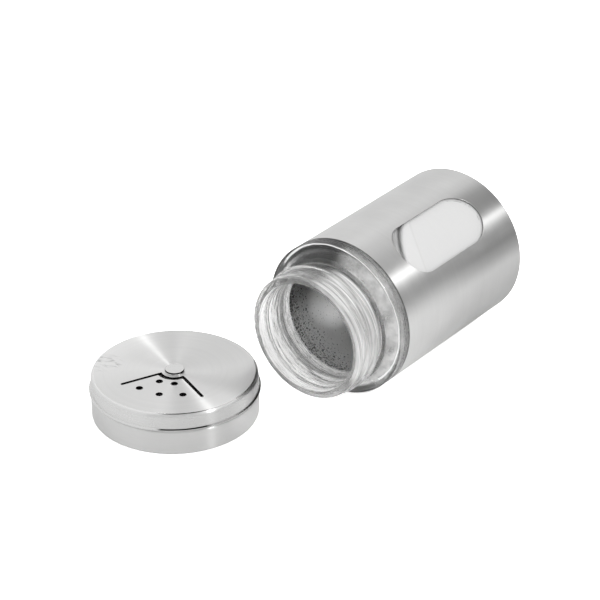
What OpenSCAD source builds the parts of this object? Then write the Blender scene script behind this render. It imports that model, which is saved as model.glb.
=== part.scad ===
// Spice shaker with its cap taken off. A glass jar in a steel sleeve lies on its
// side, and its screw cap with a turning shaker dial stands open side down beside it.
// Millimetres, +Z up. The jar's mouth faces -Y. The origin is on the ground, at the
// middle of the box round the whole part.

/* [Sleeve] */
// Outer diameter of the steel sleeve, and of the glass bead that it meets
sleeve_d = 62; // [54:0.5:80]
// Length of the sleeve, from its front rim to its rear edge
sleeve_length = 77.1; // [66:0.1:110]
// Sheet thickness of the sleeve
sleeve_wall = 0.5; // [0.4:0.05:0.8]
// Outer radius of the sleeve's turned-in rear edge
edge_radius = 0.9; // [0.8:0.05:1.5]
// Width of the flat lip that is turned in at the rear
base_lip = 1.6; // [1:0.1:3]

/* [Window] */
// Width of the window, straight across
window_width = 21.6; // [12:0.1:30]
// Length of the window, along the sleeve
window_length = 50.4; // [30:0.1:56]
// Distance from the sleeve's front rim to the window
window_start = 12.4; // [5:0.1:16]
// Turn of the window from straight up, towards +X
window_turn = 35.5; // [0:0.5:90]

/* [Base] */
// Thickness of the steel base plate
plate_thickness = 0.5; // [0.4:0.05:1]
// Diameter of the pressed ring that stiffens the base plate
plate_ring_d = 42; // [20:1:46]
// Height of the pressed ring above the base plate
plate_ring_height = 0.35; // [0.2:0.05:0.4]
// Thickness of the foam pad between the glass and the base plate
pad_thickness = 1; // [0.5:0.1:2]

/* [Glass jar] */
// Wall of the glass body
glass_wall = 2.7; // [2:0.1:4]
// Thickness of the glass floor
glass_floor = 4; // [3:0.1:6]
// Outer corner radius at the bottom of the glass
glass_corner = 4; // [2:0.5:6]
// Depth of the hollow under the glass floor
punt_depth = 1.2; // [0.5:0.1:2]
// Length of the bead that stands in front of the sleeve
bead_length = 5.5; // [3:0.1:10]
// Radius of the bead's front corner
bead_radius = 0.8; // [0.5:0.1:2.5]
// Rise of the shoulder from the bead to the neck
shoulder_rise = 2.6; // [1:0.1:3]
// Thickness of the glass behind the shoulder
shoulder_wall = 3.2; // [2.5:0.1:4]
// Length of the neck, from the shoulder to the mouth
neck_length = 15.6; // [14.8:0.1:20]
// Radius of the fillet where the neck meets the shoulder
neck_fillet = 0.8; // [0.4:0.1:1]
// Wall of the neck between its threads
neck_wall = 2.2; // [1.8:0.1:3]
// Radius of the bore's inner edge
throat_radius = 0.7; // [0.3:0.1:1]
// Step of the lip round the mouth, out from the neck
lip_step = 1; // [0.5:0.1:1.4]
// Length of the lip
lip_length = 2.8; // [2:0.1:3.5]
// Radius of the lip's rounded edges
lip_radius = 0.9; // [0.5:0.1:1]

/* [Thread] */
// Height of the thread's ridge above the neck
thread_height = 1.9; // [1.5:0.1:2.2]
// Rise of the thread in one turn
thread_pitch = 5; // [4.4:0.1:5.6]
// Number of turns of the thread
thread_turns = 1.5; // [1:0.05:1.6]
// Width of the ridge where it leaves the wall
thread_root = 2.6; // [2:0.1:3]
// Width of the ridge at its crest
thread_crest = 0.9; // [0.6:0.1:1.2]
// Distance from the mouth to the first turn of the neck's thread
thread_start = 4.6; // [4.2:0.1:5]
// Turn of the thread's start about the jar's axis
thread_turn = 301; // [0:1:359]
// Clearance of the cap's thread on the neck's thread and lip
thread_fit = 0.25; // [0.15:0.05:0.4]

/* [Cap] */
// Outer diameter of the cap's lower band
band_d = 63.8; // [62:0.2:70]
// Height of the lower band up to its shoulder
band_height = 9.9; // [7:0.1:11]
// Radius of the band's shoulder
band_radius = 1.2; // [0.8:0.1:1.5]
// Height of the cap, from its rim to the dial's top
cap_height = 17; // [16:0.1:20]
// Sheet thickness of the cap's shell and dial
cap_sheet = 0.5; // [0.4:0.05:0.6]
// Outer radius of the edge round the shell's plate
shell_radius = 1; // [0.7:0.1:1.5]
// Height of the folded hem at the rim
hem_height = 1.4; // [1.2:0.1:2]
// Width of the flat on which the rim stands
rim_flat = 0.3; // [0.1:0.05:0.6]
// Gap between the shell's collar and the dial's rolled edge
collar_gap = 0.7; // [0.4:0.05:1]
// Thickness of the seal under the shell's plate
seal_thickness = 1.2; // [0.8:0.1:2]
// Number of ribs that centre the threaded ring
rib_count = 12; // [6:1:18]
// Length of the ribs, from the threaded ring out to the shell's collar
rib_length = 2.25; // [1:0.05:3.5]
// Wall of the threaded ring and its ribs
ring_wall = 1.5; // [1:0.1:2]

/* [Dial] */
// Outer diameter of the dial at its lower edge
dial_d = 65.2; // [63:0.2:72]
// Outer diameter of the dial's skirt just under its top
dial_top_d = 63.4; // [62:0.2:70]
// Radius of the dial's top edge
dial_radius = 1.2; // [0.8:0.1:1.6]
// Width of the dial's rolled lower edge
roll_width = 1.2; // [0.9:0.1:1.5]
// Height of the dial's rolled lower edge
roll_height = 0.9; // [0.8:0.05:1.2]
// Gap between the dial's plate and the shell's plate
plate_gap = 0.3; // [0.2:0.05:0.5]
// Open gap that shows between the dial and the band
hem_gap = 0.45; // [0.3:0.05:0.8]

/* [Shaker fan] */
// Turn of the fan's middle line about the cap's axis, from +X
fan_turn = -68.5; // [-180:0.5:180]
// Half the angle between the fan's two straight slits
fan_half_angle = 45; // [40:1:55]
// Width of the straight slits
slit_width = 1.1; // [0.8:0.05:1.5]
// Outward offset of each straight slit from the line through the axis
slit_offset = 0.7; // [0:0.1:1]
// Reach of the straight slits beyond the mouth's bore
slit_reach = 0.2; // [-1:0.1:1]
// Width of the curved slit round the rivet
arc_slit_width = 1.6; // [1.2:0.1:2]
// Radius of the curved slit's middle line
arc_slit_radius = 5.9; // [5.8:0.1:6.3]
// Angle by which the shell's opening is wider than the fan, on each side
opening_spread = 8; // [4:0.5:12]
// Diameter of the shaker holes
hole_d = 2.5; // [1.5:0.1:3.2]
// Distance from the mouth's bore in to the outer row of holes
outer_row_inset = 4; // [2.8:0.1:5]
// Angle between neighbours in the outer row
outer_step = 28.7; // [24:0.1:32]
// Radius of the inner row of holes
inner_row = 9.5; // [9:0.1:11]
// Angle between the two holes of the inner row
inner_step = 36.5; // [30:0.5:40]

/* [Rivet] */
// Diameter of the rivet's head
rivet_head_d = 7.6; // [6:0.1:8]
// Height of the rivet's head above the dial
rivet_head_height = 1; // [0.6:0.1:1.5]
// Diameter of the rivet's shank
rivet_d = 4; // [3:0.1:5]
// Radial clearance of the dial on the shank
dial_fit = 0.08; // [0.02:0.01:0.1]
// Diameter of the spring washer under the shell's plate
washer_d = 8.6; // [7.6:0.1:9]
// Height of the spring washer
spring_height = 0.8; // [0.6:0.05:1]
// Thickness of the spring washer's sheet
spring_sheet = 0.3; // [0.2:0.05:0.4]
// Diameter of the flat washer at the rivet's tail
tail_washer_d = 8; // [6.8:0.1:8.6]
// Thickness of the flat washer
tail_washer_thickness = 0.5; // [0.4:0.05:0.8]
// Diameter of the rivet's peened tail
rivet_tail_d = 6; // [5.4:0.1:6.6]
// Height of the rivet's peened tail
rivet_tail_height = 0.8; // [0.5:0.1:1]

/* [Places] */
// Direction from the mouth's corner to the cap's axis, from -Y towards -X
cap_bearing = 24.8; // [0:0.1:60]
// Gap between the dial and the mouth's corner, seen from above
cap_gap = 0.75; // [0.3:0.05:20]

/* [Fits] */
// Gap between the sleeve and the glass
glass_fit = 0.3; // [0.1:0.05:0.5]
// Gap between pieces that are pressed together by hand
press_gap = 0.1; // [0.05:0.01:0.2]
// Gap round the rivet's shank in the pieces that it clamps, and under its head
rivet_gap = 0.05; // [0.02:0.01:0.1]

/* [Hidden] */

// Smoothness of round shapes, and the number of steps in a quarter-round edge
$fn = 96;
quarter_steps = 6;
// Steps in one turn of a thread, and the angle over which its ends run out
turn_steps = 40;
run_out = 45;
// Depth to which the thread's foot reaches into the wall that carries it
foot = 0.6;
// Overshoot of cutting tools, so that no cut ends on a face
cut = 1;

// Sleeve and base
sleeve_r = sleeve_d / 2;
sleeve_bore_r = sleeve_r - sleeve_wall;
lip_inner_r = sleeve_r - edge_radius - base_lip;
plate_z = sleeve_length - sleeve_wall - plate_thickness;
plate_r = sleeve_r - edge_radius - press_gap;
plate_ring_r = plate_ring_d / 2;
pad_z = plate_z - pad_thickness;

// Glass
glass_r = sleeve_bore_r - glass_fit;
glass_bore_r = glass_r - glass_wall;
glass_end = pad_z;
punt_r = glass_r - glass_corner - 2 * punt_depth;
neck_root = bead_length + shoulder_rise;
mouth_front = neck_root + neck_length;
throat_z = shoulder_wall - neck_root;

// Cap
band_r = band_d / 2;
dial_r = dial_d / 2;
dial_top_r = dial_top_d / 2;
dial_bottom = band_height + hem_gap;
roll_inner_r = dial_r - roll_width;
collar_r = min(
    roll_inner_r - collar_gap,
    dial_top_r - cap_sheet - collar_gap,
    band_r - band_radius
);
shell_top = cap_height - cap_sheet - plate_gap;
shell_ceiling = shell_top - cap_sheet;
seal_face = shell_ceiling - seal_thickness;

// Threaded ring in the cap
rib_high_r = collar_r - cap_sheet - press_gap;
ring_outer_r = rib_high_r - rib_length;
ring_bore_r = ring_outer_r - ring_wall;
ring_floor = hem_height + press_gap;
ring_top = shell_ceiling - press_gap;
ring_flange_r = band_r - cap_sheet - press_gap;
rib_low_top = band_height - band_radius - cap_sheet;
ring_thread_low = ring_floor + thread_root / 2 + press_gap;
ring_thread_high = seal_face - thread_start - thread_pitch / 2;
ring_thread_turns = (ring_thread_high - ring_thread_low) / thread_pitch;
seal_r = ring_bore_r - press_gap;

// Neck, which screws into the ring
thread_crest_r = ring_bore_r - thread_fit;
neck_r = thread_crest_r - thread_height;
mouth_r = neck_r - neck_wall;
lip_r = neck_r + lip_step;
ring_crest_r = lip_r + thread_fit;
seal_bore_r = mouth_r;
shoulder_r = glass_bore_r - mouth_r - throat_radius;

// Opening of the shell's plate under the fan, and the fan's pattern
opening_inner_r = arc_slit_radius - arc_slit_width / 2 - press_gap;
opening_outer_r = seal_bore_r - press_gap;
opening_half_angle = fan_half_angle + opening_spread;
slit_end = mouth_r + slit_reach;
outer_row = mouth_r - outer_row_inset;

// Rivet and washers
rivet_r = rivet_d / 2;
spring_z = shell_ceiling - spring_height;
tail_washer_z = spring_z - tail_washer_thickness;
rivet_tail_z = tail_washer_z - rivet_tail_height;
head_edge = rivet_head_height / 2;

// Places on the ground: the cap's axis and the whole part's box, from the rim's centre
cap_axis_x = -lip_r - (dial_r + cap_gap) * sin(cap_bearing);
cap_axis_y = -mouth_front - (dial_r + cap_gap) * cos(cap_bearing);
side_low = min(cap_axis_x - dial_r, -sleeve_r);
side_high = max(cap_axis_x + dial_r, sleeve_r);
jar_x = -(side_low + side_high) / 2;
jar_y = -(cap_axis_y - dial_r + sleeve_length) / 2;

// Points along an arc, both ends included
function arc(centre, radius, from, to) = [
    for (step = [0 : quarter_steps])
        let (angle = from + (to - from) * step / quarter_steps)
            [centre[0] + radius * cos(angle), centre[1] + radius * sin(angle)]
];

// One cross-section of a ridge: foot in the wall, crest at crest_r, at a given angle
function ridge_section(foot_r, crest_r, angle, height, ramp) =
    let (top_r = foot_r + (crest_r - foot_r) * ramp)
    [
        for (corner = [
            [foot_r, -thread_root / 2],
            [top_r, -thread_crest / 2],
            [top_r, thread_crest / 2],
            [foot_r, thread_root / 2]
        ])
            [corner[0] * cos(angle), corner[0] * sin(angle), height + corner[1]]
    ];

// A single-start thread that rises from z = 0, with ends that run out into the wall
module thread_ridge(foot_r, crest_r, turns) {
    sections = round(turns * turn_steps);
    full_angle = turns * 360;
    points = [
        for (step = [0 : sections])
            let (angle = full_angle * step / sections)
            let (ramp = max(0.15, min(1, angle / run_out, (full_angle - angle) / run_out)))
                each ridge_section(foot_r, crest_r, angle, thread_pitch * angle / 360, ramp)
    ];
    outward = crest_r > foot_r;
    sides = [
        for (step = [0 : sections - 1])
            for (side = [0 : 3])
                let (a = 4 * step + side)
                let (b = 4 * step + (side + 1) % 4)
                    each outward
                        ? [[a, b, b + 4], [a, b + 4, a + 4]]
                        : [[a, b + 4, b], [a, a + 4, b + 4]]
    ];
    last = 4 * sections;
    first_end = outward ? [3, 2, 1, 0] : [0, 1, 2, 3];
    last_end = outward
        ? [last, last + 1, last + 2, last + 3]
        : [last + 3, last + 2, last + 1, last];
    polyhedron(points = points, faces = concat(sides, [first_end, last_end]));
}

// Puts a piece drawn round the Z axis, rim at z = 0, into the lying jar's place
module lay_jar() {
    translate([jar_x, jar_y, sleeve_r])
        rotate([-90, 0, 0])
            children();
}

// Puts a piece of the cap, drawn with its rim at z = 0, beside the jar
module stand_cap() {
    translate([jar_x + cap_axis_x, jar_y + cap_axis_y, 0])
        children();
}

// Full round body of the glass, without its thread
module glass_body() {
    bead_start = -(bead_length - bead_radius);
    lip_start = -(mouth_front - lip_length);
    rotate_extrude()
        polygon(concat(
            [[0, glass_end - punt_depth], [punt_r, glass_end - punt_depth]],
            [[punt_r + 2 * punt_depth, glass_end]],
            arc([glass_r - glass_corner, glass_end - glass_corner], glass_corner, 90, 0),
            [[glass_r, 0], [sleeve_r, 0]],
            arc([sleeve_r - bead_radius, bead_start], bead_radius, 0, -90),
            arc([neck_r + neck_fillet, -neck_root - neck_fillet], neck_fillet, 90, 180),
            [[neck_r, lip_start + (lip_r - neck_r)]],
            [[lip_r, lip_start]],
            arc([lip_r - lip_radius, lip_radius - mouth_front], lip_radius, 0, -90),
            arc([mouth_r + lip_radius, lip_radius - mouth_front], lip_radius, -90, -180),
            arc([mouth_r + throat_radius, throat_z - throat_radius], throat_radius, 180, 90),
            arc([glass_bore_r - shoulder_r, throat_z + shoulder_r], shoulder_r, -90, 0),
            arc([glass_bore_r - glass_corner, glass_end - glass_floor - glass_corner],
                glass_corner, 0, 90),
            [[0, glass_end - glass_floor]]
        ));
}

module glass_jar() {
    color("aliceblue", 0.4)
    lay_jar()
    union() {
        glass_body();
        translate([0, 0, thread_start - mouth_front])
            rotate([0, 0, thread_turn])
                thread_ridge(neck_r - foot, thread_crest_r, thread_turns);
    }
}

// Long opening with half-round ends, drawn along the sleeve
module window_outline() {
    end_r = window_width / 2;
    translate([-end_r, window_start + end_r])
        square([window_width, window_length - window_width]);
    for (end = [window_start + end_r, window_start + window_length - end_r])
        translate([0, end])
            circle(r = end_r);
}

module steel_sleeve() {
    inner_edge = edge_radius - sleeve_wall;
    color("silver")
    lay_jar()
    difference() {
        rotate_extrude()
            polygon(concat(
                [[sleeve_bore_r, 0], [sleeve_r, 0]],
                arc([sleeve_r - edge_radius, sleeve_length - edge_radius], edge_radius, 0, 90),
                [[lip_inner_r, sleeve_length], [lip_inner_r, sleeve_length - sleeve_wall]],
                arc([sleeve_bore_r - inner_edge, sleeve_length - edge_radius],
                    inner_edge, 90, 0)
            ));
        rotate([0, 0, 180 + window_turn])
            rotate([-90, 0, 0])
                mirror([0, 1, 0])
                    linear_extrude(sleeve_d)
                        window_outline();
    }
}

module base_plate() {
    bead_width = 2 * plate_ring_height;
    bead_top = plate_thickness + plate_ring_height;
    color("gainsboro")
    lay_jar()
    translate([0, 0, plate_z])
        rotate_extrude()
            polygon(concat(
                [[0, 0], [plate_r, 0], [plate_r, plate_thickness]],
                [[plate_ring_r + bead_width, plate_thickness]],
                [[plate_ring_r + plate_ring_height, bead_top]],
                [[plate_ring_r - plate_ring_height, bead_top]],
                [[plate_ring_r - bead_width, plate_thickness]],
                [[0, plate_thickness]]
            ));
}

module base_pad() {
    color("dimgray")
    lay_jar()
    translate([0, 0, pad_z])
        difference() {
            cylinder(r = glass_r - glass_corner, h = pad_thickness);
            translate([0, 0, -cut])
                cylinder(r = punt_r, h = pad_thickness + 2 * cut);
        }
}

// Section of the cap's shell: folded rim, band, shoulder, collar and plate
module shell_section() {
    hem_r = cap_sheet - rim_flat / 2;
    hem_inner_r = band_r - 2 * cap_sheet;
    inner_shoulder = band_radius - cap_sheet;
    inner_corner = shell_radius - cap_sheet;
    polygon(concat(
        arc([band_r - hem_r, hem_r], hem_r, 0, -90),
        arc([hem_inner_r + hem_r, hem_r], hem_r, -90, -180),
        [[hem_inner_r, hem_height], [band_r - cap_sheet, hem_height]],
        arc([band_r - band_radius, band_height - band_radius], inner_shoulder, 0, 90),
        [[collar_r - cap_sheet, band_height - cap_sheet]],
        arc([collar_r - shell_radius, shell_top - shell_radius], inner_corner, 0, 90),
        [[0, shell_ceiling], [0, shell_top]],
        arc([collar_r - shell_radius, shell_top - shell_radius], shell_radius, 90, 0),
        [[collar_r, band_height]],
        arc([band_r - band_radius, band_height - band_radius], band_radius, 90, 0)
    ));
}

// Sector of a ring, centred on +X
module ring_sector(inner_r, outer_r, half_angle) {
    reach = outer_r / cos(half_angle / 2);
    intersection() {
        difference() {
            circle(r = outer_r);
            circle(r = inner_r);
        }
        polygon([
            [0, 0],
            [reach * cos(half_angle), -reach * sin(half_angle)],
            [reach * cos(half_angle / 2), -reach * sin(half_angle / 2)],
            [reach, 0],
            [reach * cos(half_angle / 2), reach * sin(half_angle / 2)],
            [reach * cos(half_angle), reach * sin(half_angle)]
        ]);
    }
}

module cap_shell() {
    color("silver")
    stand_cap()
    difference() {
        rotate_extrude()
            shell_section();
        translate([0, 0, shell_ceiling - cut])
            cylinder(r = rivet_r + rivet_gap, h = cap_sheet + 2 * cut);
        translate([0, 0, shell_ceiling - cut])
            rotate([0, 0, fan_turn])
                linear_extrude(cap_sheet + 2 * cut)
                    ring_sector(opening_inner_r, opening_outer_r, opening_half_angle);
    }
}

module thread_ring() {
    color("whitesmoke")
    stand_cap()
    union() {
        rotate_extrude()
            polygon([
                [ring_bore_r, ring_floor],
                [ring_flange_r, ring_floor],
                [ring_flange_r, ring_floor + ring_wall],
                [ring_outer_r, ring_floor + ring_wall],
                [ring_outer_r, ring_top],
                [ring_bore_r, ring_top]
            ]);
        for (rib = [0 : rib_count - 1])
            rotate([0, 0, 360 * rib / rib_count]) {
                translate([ring_outer_r - foot, -ring_wall / 2, ring_floor + ring_wall - foot])
                    cube([rib_high_r - ring_outer_r + foot, ring_wall,
                          ring_top - ring_floor - ring_wall + foot - cap_sheet]);
                translate([ring_outer_r - foot, -ring_wall / 2, ring_floor + ring_wall - foot])
                    cube([ring_flange_r - ring_outer_r + foot, ring_wall,
                          rib_low_top - ring_floor - ring_wall + foot]);
            }
        translate([0, 0, ring_thread_low])
            thread_ridge(ring_bore_r + foot, ring_crest_r, ring_thread_turns);
    }
}

module seal_ring() {
    color("white")
    stand_cap()
    translate([0, 0, seal_face])
        difference() {
            cylinder(r = seal_r, h = seal_thickness);
            translate([0, 0, -cut])
                cylinder(r = seal_bore_r, h = seal_thickness + 2 * cut);
        }
}

// Section of the dial: rolled lower edge, flared skirt, round top edge and plate
module dial_section() {
    top_z = cap_height - dial_radius;
    inner_corner = dial_radius - cap_sheet;
    roll_r = roll_height / 2;
    roll_z = dial_bottom + roll_r;
    polygon(concat(
        [[0, cap_height]],
        arc([dial_top_r - dial_radius, top_z], dial_radius, 90, 0),
        arc([dial_r - roll_r, roll_z], roll_r, 0, -90),
        [[roll_inner_r, dial_bottom], [roll_inner_r, dial_bottom + cap_sheet]],
        [[dial_r - roll_r, dial_bottom + cap_sheet]],
        [[dial_r - cap_sheet, roll_z + cap_sheet]],
        arc([dial_top_r - dial_radius, top_z], inner_corner, 0, 90),
        [[0, cap_height - cap_sheet]]
    ));
}

// The fan's slits and holes, drawn round +X
module fan_cuts() {
    end_x = slit_end - slit_width / 2;
    for (side = [-1, 1])
        rotate([0, 0, side * fan_half_angle])
            translate([0, side * slit_offset]) {
                translate([arc_slit_radius, -slit_width / 2])
                    square([end_x - arc_slit_radius, slit_width]);
                translate([end_x, 0])
                    circle(d = slit_width);
            }
    ring_sector(arc_slit_radius - arc_slit_width / 2, arc_slit_radius + arc_slit_width / 2,
                fan_half_angle + asin((slit_offset + slit_width / 2) / arc_slit_radius));
    for (place = [-1 : 1])
        rotate([0, 0, place * outer_step])
            translate([outer_row, 0])
                circle(d = hole_d);
    for (place = [-1, 1])
        rotate([0, 0, place * inner_step / 2])
            translate([inner_row, 0])
                circle(d = hole_d);
}

module shaker_dial() {
    color("lightgray")
    stand_cap()
    difference() {
        rotate_extrude()
            dial_section();
        translate([0, 0, cap_height - cap_sheet - cut])
            cylinder(r = rivet_r + dial_fit, h = cap_sheet + 2 * cut);
        translate([0, 0, cap_height - cap_sheet - cut])
            rotate([0, 0, fan_turn])
                linear_extrude(cap_sheet + 2 * cut)
                    fan_cuts();
    }
}

module pivot_rivet() {
    head_r = rivet_head_d / 2;
    head_bottom = cap_height + rivet_gap;
    head_top = cap_height + rivet_head_height;
    tail_r = rivet_tail_d / 2;
    color("gainsboro")
    stand_cap()
    rotate_extrude()
        polygon(concat(
            [[0, rivet_tail_z]],
            [[tail_r - rivet_tail_height / 2, rivet_tail_z]],
            [[tail_r, rivet_tail_z + rivet_tail_height / 2]],
            [[tail_r, tail_washer_z], [rivet_r, tail_washer_z]],
            [[rivet_r, head_bottom], [head_r, head_bottom]],
            arc([head_r - head_edge, head_top - head_edge], head_edge, 0, 90),
            [[0, head_top]]
        ));
}

// Cone-shaped spring washer, its wide edge against the shell's plate
module spring_washer() {
    inner_r = rivet_r + rivet_gap;
    outer_r = washer_d / 2;
    color("dimgray")
    stand_cap()
    rotate_extrude()
        polygon([
            [inner_r, spring_z],
            [outer_r, shell_ceiling - spring_sheet],
            [outer_r, shell_ceiling],
            [inner_r, spring_z + spring_sheet]
        ]);
}

module tail_washer() {
    color("gray")
    stand_cap()
    translate([0, 0, tail_washer_z])
        difference() {
            cylinder(d = tail_washer_d, h = tail_washer_thickness);
            translate([0, 0, -cut])
                cylinder(r = rivet_r + rivet_gap, h = tail_washer_thickness + 2 * cut);
        }
}

glass_jar();
steel_sleeve();
base_plate();
base_pad();
cap_shell();
thread_ring();
seal_ring();
shaker_dial();
pivot_rivet();
spring_washer();
tail_washer();
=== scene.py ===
import math

import bmesh
import bpy
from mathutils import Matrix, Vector
from mathutils.geometry import delaunay_2d_cdt


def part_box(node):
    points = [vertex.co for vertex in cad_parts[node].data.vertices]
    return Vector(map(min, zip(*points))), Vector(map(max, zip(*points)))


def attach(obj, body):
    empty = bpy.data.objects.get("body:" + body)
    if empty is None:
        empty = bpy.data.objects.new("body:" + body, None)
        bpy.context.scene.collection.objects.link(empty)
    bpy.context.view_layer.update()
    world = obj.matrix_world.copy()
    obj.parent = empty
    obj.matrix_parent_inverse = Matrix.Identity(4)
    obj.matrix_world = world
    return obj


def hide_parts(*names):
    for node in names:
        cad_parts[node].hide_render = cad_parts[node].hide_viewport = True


# A glass spice jar in a steel sleeve lies on its side, and its screw cap with a turning shaker dial
# stands beside it. Each CAD solid that shows gets a finished mesh, and the others get materials.

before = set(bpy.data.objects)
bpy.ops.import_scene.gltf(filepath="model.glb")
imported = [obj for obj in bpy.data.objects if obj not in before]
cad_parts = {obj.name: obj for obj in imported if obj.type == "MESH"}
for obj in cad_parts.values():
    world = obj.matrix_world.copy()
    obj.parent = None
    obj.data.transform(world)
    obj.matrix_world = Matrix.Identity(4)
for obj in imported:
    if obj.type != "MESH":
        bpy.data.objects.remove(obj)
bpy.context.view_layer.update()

MM = 0.001
TAU = 2 * math.pi

# ---- sizes, in millimetres
# Places along the jar are measured from the sleeve's front rim towards the base, so those of the
# bead and the neck are negative. Heights on the cap are measured from the ground.
SLEEVE_R, SLEEVE_WALL, SLEEVE_LENGTH = 31.0, 0.5, 77.1
EDGE_R, BASE_LIP = 0.9, 1.6
WINDOW_WIDTH, WINDOW_LENGTH, WINDOW_START, WINDOW_TURN = 21.6, 50.4, 12.4, 35.5
PLATE_Z, PLATE_THICKNESS, PLATE_R = 76.1, 0.5, 30.0
PLATE_RING_R, PLATE_RING_HEIGHT = 21.0, 0.35
PAD_R, PAD_BORE_R = 26.2, 23.8

GLASS_R, GLASS_BORE_R, GLASS_END = 30.2, 27.5, 75.1
GLASS_FLOOR, GLASS_CORNER, PUNT_DEPTH = 4.0, 4.0, 1.2
BEAD_LENGTH, BEAD_RADIUS = 5.5, 0.8
BEAD_LINES_FROM, BEAD_LINES_TO, BEAD_LINE_STEP, BEAD_LINE_DEPTH = 0.5, 4.5, 1.0, 0.12
SHOULDER = [(29.4, -5.82), (28.4, -6.32), (27.2, -6.95), (26.0, -7.58)]
NECK_R, NECK_FILLET, NECK_ROOT = 24.0, 0.8, 8.1
MOUTH_R, MOUTH_FRONT, THROAT_RADIUS, THROAT_Z = 21.8, 23.7, 0.7, -4.9
LIP_R, LIP_LENGTH, LIP_RADIUS = 25.0, 2.8, 0.9
THREAD_CREST_R, THREAD_PITCH, THREAD_TURNS = 25.9, 5.0, 1.5
THREAD_ROOT, THREAD_CREST, THREAD_START, THREAD_TURN = 2.6, 0.9, 4.6, 301.0
THREAD_FOOT, THREAD_RUN_OUT = 0.6, 45.0

BAND_R, BAND_HEIGHT, BAND_RADIUS = 31.9, 9.9, 1.2
CAP_HEIGHT, CAP_SHEET, SHELL_RADIUS = 17.0, 0.5, 1.0
HEM_HEIGHT, RIM_FLAT, COLLAR_R, PLATE_GAP = 1.4, 0.3, 30.5, 0.3
SHELL_TOP = CAP_HEIGHT - CAP_SHEET - PLATE_GAP
DIAL_R, DIAL_TOP_R, DIAL_RADIUS, HEM_GAP = 32.6, 31.7, 1.2, 0.15
DIAL_FLAT_R = DIAL_TOP_R - DIAL_RADIUS
HEM_Z = BAND_HEIGHT + HEM_GAP
ROLL_WIDTH, ROLL_HEIGHT = 1.2, 1.2
# the polished faces on the dial, as steps (outwards, up): of the hem from DIAL_R and HEM_Z, and of
# the top's edge from DIAL_FLAT_R and CAP_HEIGHT
FACET_HIGH, FACET_LOW = (-0.6, 0.98), (-0.03, 0.65)
TOP_EDGE = [(0, 0), (0.2, -0.04), (0.48, -0.2), (0.78, -0.43), (1.0, -0.7), (1.13, -0.95)]
FAN_TURN, FAN_HALF_ANGLE, OPENING_SPREAD = -68.5, 45.0, 8.0
SLIT_WIDTH, SLIT_OFFSET, SLIT_END = 1.1, 0.7, 22.0
ARC_SLIT_WIDTH, ARC_SLIT_R = 1.6, 5.9
HOLE_D, OUTER_ROW, OUTER_STEP, INNER_ROW, INNER_STEP = 2.5, 17.8, 28.7, 9.5, 36.5
RIVET_R, HEAD_R, HEAD_HEIGHT, RIVET_GAP = 2.0, 3.8, 1.0, 0.05
STEP_R, STEP_LOW, STEP_EDGE = 3.65, 0.66, 0.07
TAIL_R, TAIL_TOP, TAIL_Z = 3.0, 14.4, 13.6
SEAL_FACE, SEAL_THICKNESS, SEAL_R = 14.5, 1.2, 26.05

# ---- places in the frame
sleeve_low, sleeve_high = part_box("steel_sleeve")
dial_low, dial_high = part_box("shaker_dial")
JAR_X = (sleeve_low.x + sleeve_high.x) / 2 / MM
JAR_Y = sleeve_low.y / MM
JAR_Z = (sleeve_low.z + sleeve_high.z) / 2 / MM
CAP_X = (dial_low.x + dial_high.x) / 2 / MM
CAP_Y = (dial_low.y + dial_high.y) / 2 / MM


def on_jar(r, turn, along):
    """A point of the lying jar: turn from straight up towards +X, along from the sleeve's front."""
    return Vector((JAR_X + r * math.sin(turn), JAR_Y + along, JAR_Z + r * math.cos(turn))) * MM


def on_cap(r, turn, height):
    """A point of the standing cap: turn from +X towards +Y, height above the ground."""
    return Vector((CAP_X + r * math.cos(turn), CAP_Y + r * math.sin(turn), height)) * MM


# ---- mesh tools
def sweep(radius, start, end, steps):
    """Points along an arc about the origin between two turns in radians, both ends included."""
    turns = [start + (end - start) * i / steps for i in range(steps + 1)]
    return [(radius * math.cos(a), radius * math.sin(a)) for a in turns]


def arc(centre, radius, start, end, steps):
    """Points along an arc between two turns in degrees, both ends included."""
    points = sweep(radius, math.radians(start), math.radians(end), steps)
    return [(centre[0] + x, centre[1] + y) for x, y in points]


def circle_outline(centre, radius, steps):
    return arc(centre, radius, 0, 360, steps)[:-1]


def linked(name, data):
    obj = bpy.data.objects.new(name, data)
    bpy.context.scene.collection.objects.link(obj)
    return obj


def finish_mesh(name, bm, material, body, replaced, sharp=32):
    """Turns a bmesh into a piece that rides on a body and stands for CAD nodes."""
    bmesh.ops.recalc_face_normals(bm, faces=bm.faces)
    mesh = bpy.data.meshes.new(name)
    bm.to_mesh(mesh)
    bm.free()
    mesh.shade_smooth()
    mesh.set_sharp_from_angle(angle=math.radians(sharp))
    mesh.materials.append(material)
    obj = linked(name, mesh)
    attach(obj, body)
    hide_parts(*replaced)


def ring(bm, place, r, height, segments):
    """A ring of vertices, or one vertex on the axis."""
    if r < 1e-6:
        return [bm.verts.new(place(0, 0, height))]
    return [bm.verts.new(place(r, TAU * i / segments, height)) for i in range(segments)]


def bridge(bm, a, b):
    """Faces between two neighbouring rings."""
    n = max(len(a), len(b))
    for i in range(n):
        j = (i + 1) % n
        corners = [a[i % len(a)], a[j % len(a)], b[j % len(b)], b[i % len(b)]]
        corners = [v for k, v in enumerate(corners) if v not in corners[:k]]
        bm.faces.new(corners)


def lathe(bm, place, profile, segments, closed=False):
    """Turns a profile of (radius, height) points round the axis."""
    rings = [ring(bm, place, r, h, segments) for r, h in profile]
    pairs = list(zip(rings, rings[1:]))
    if closed:
        pairs.append((rings[-1], rings[0]))
    for a, b in pairs:
        bridge(bm, a, b)
    return rings


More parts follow.
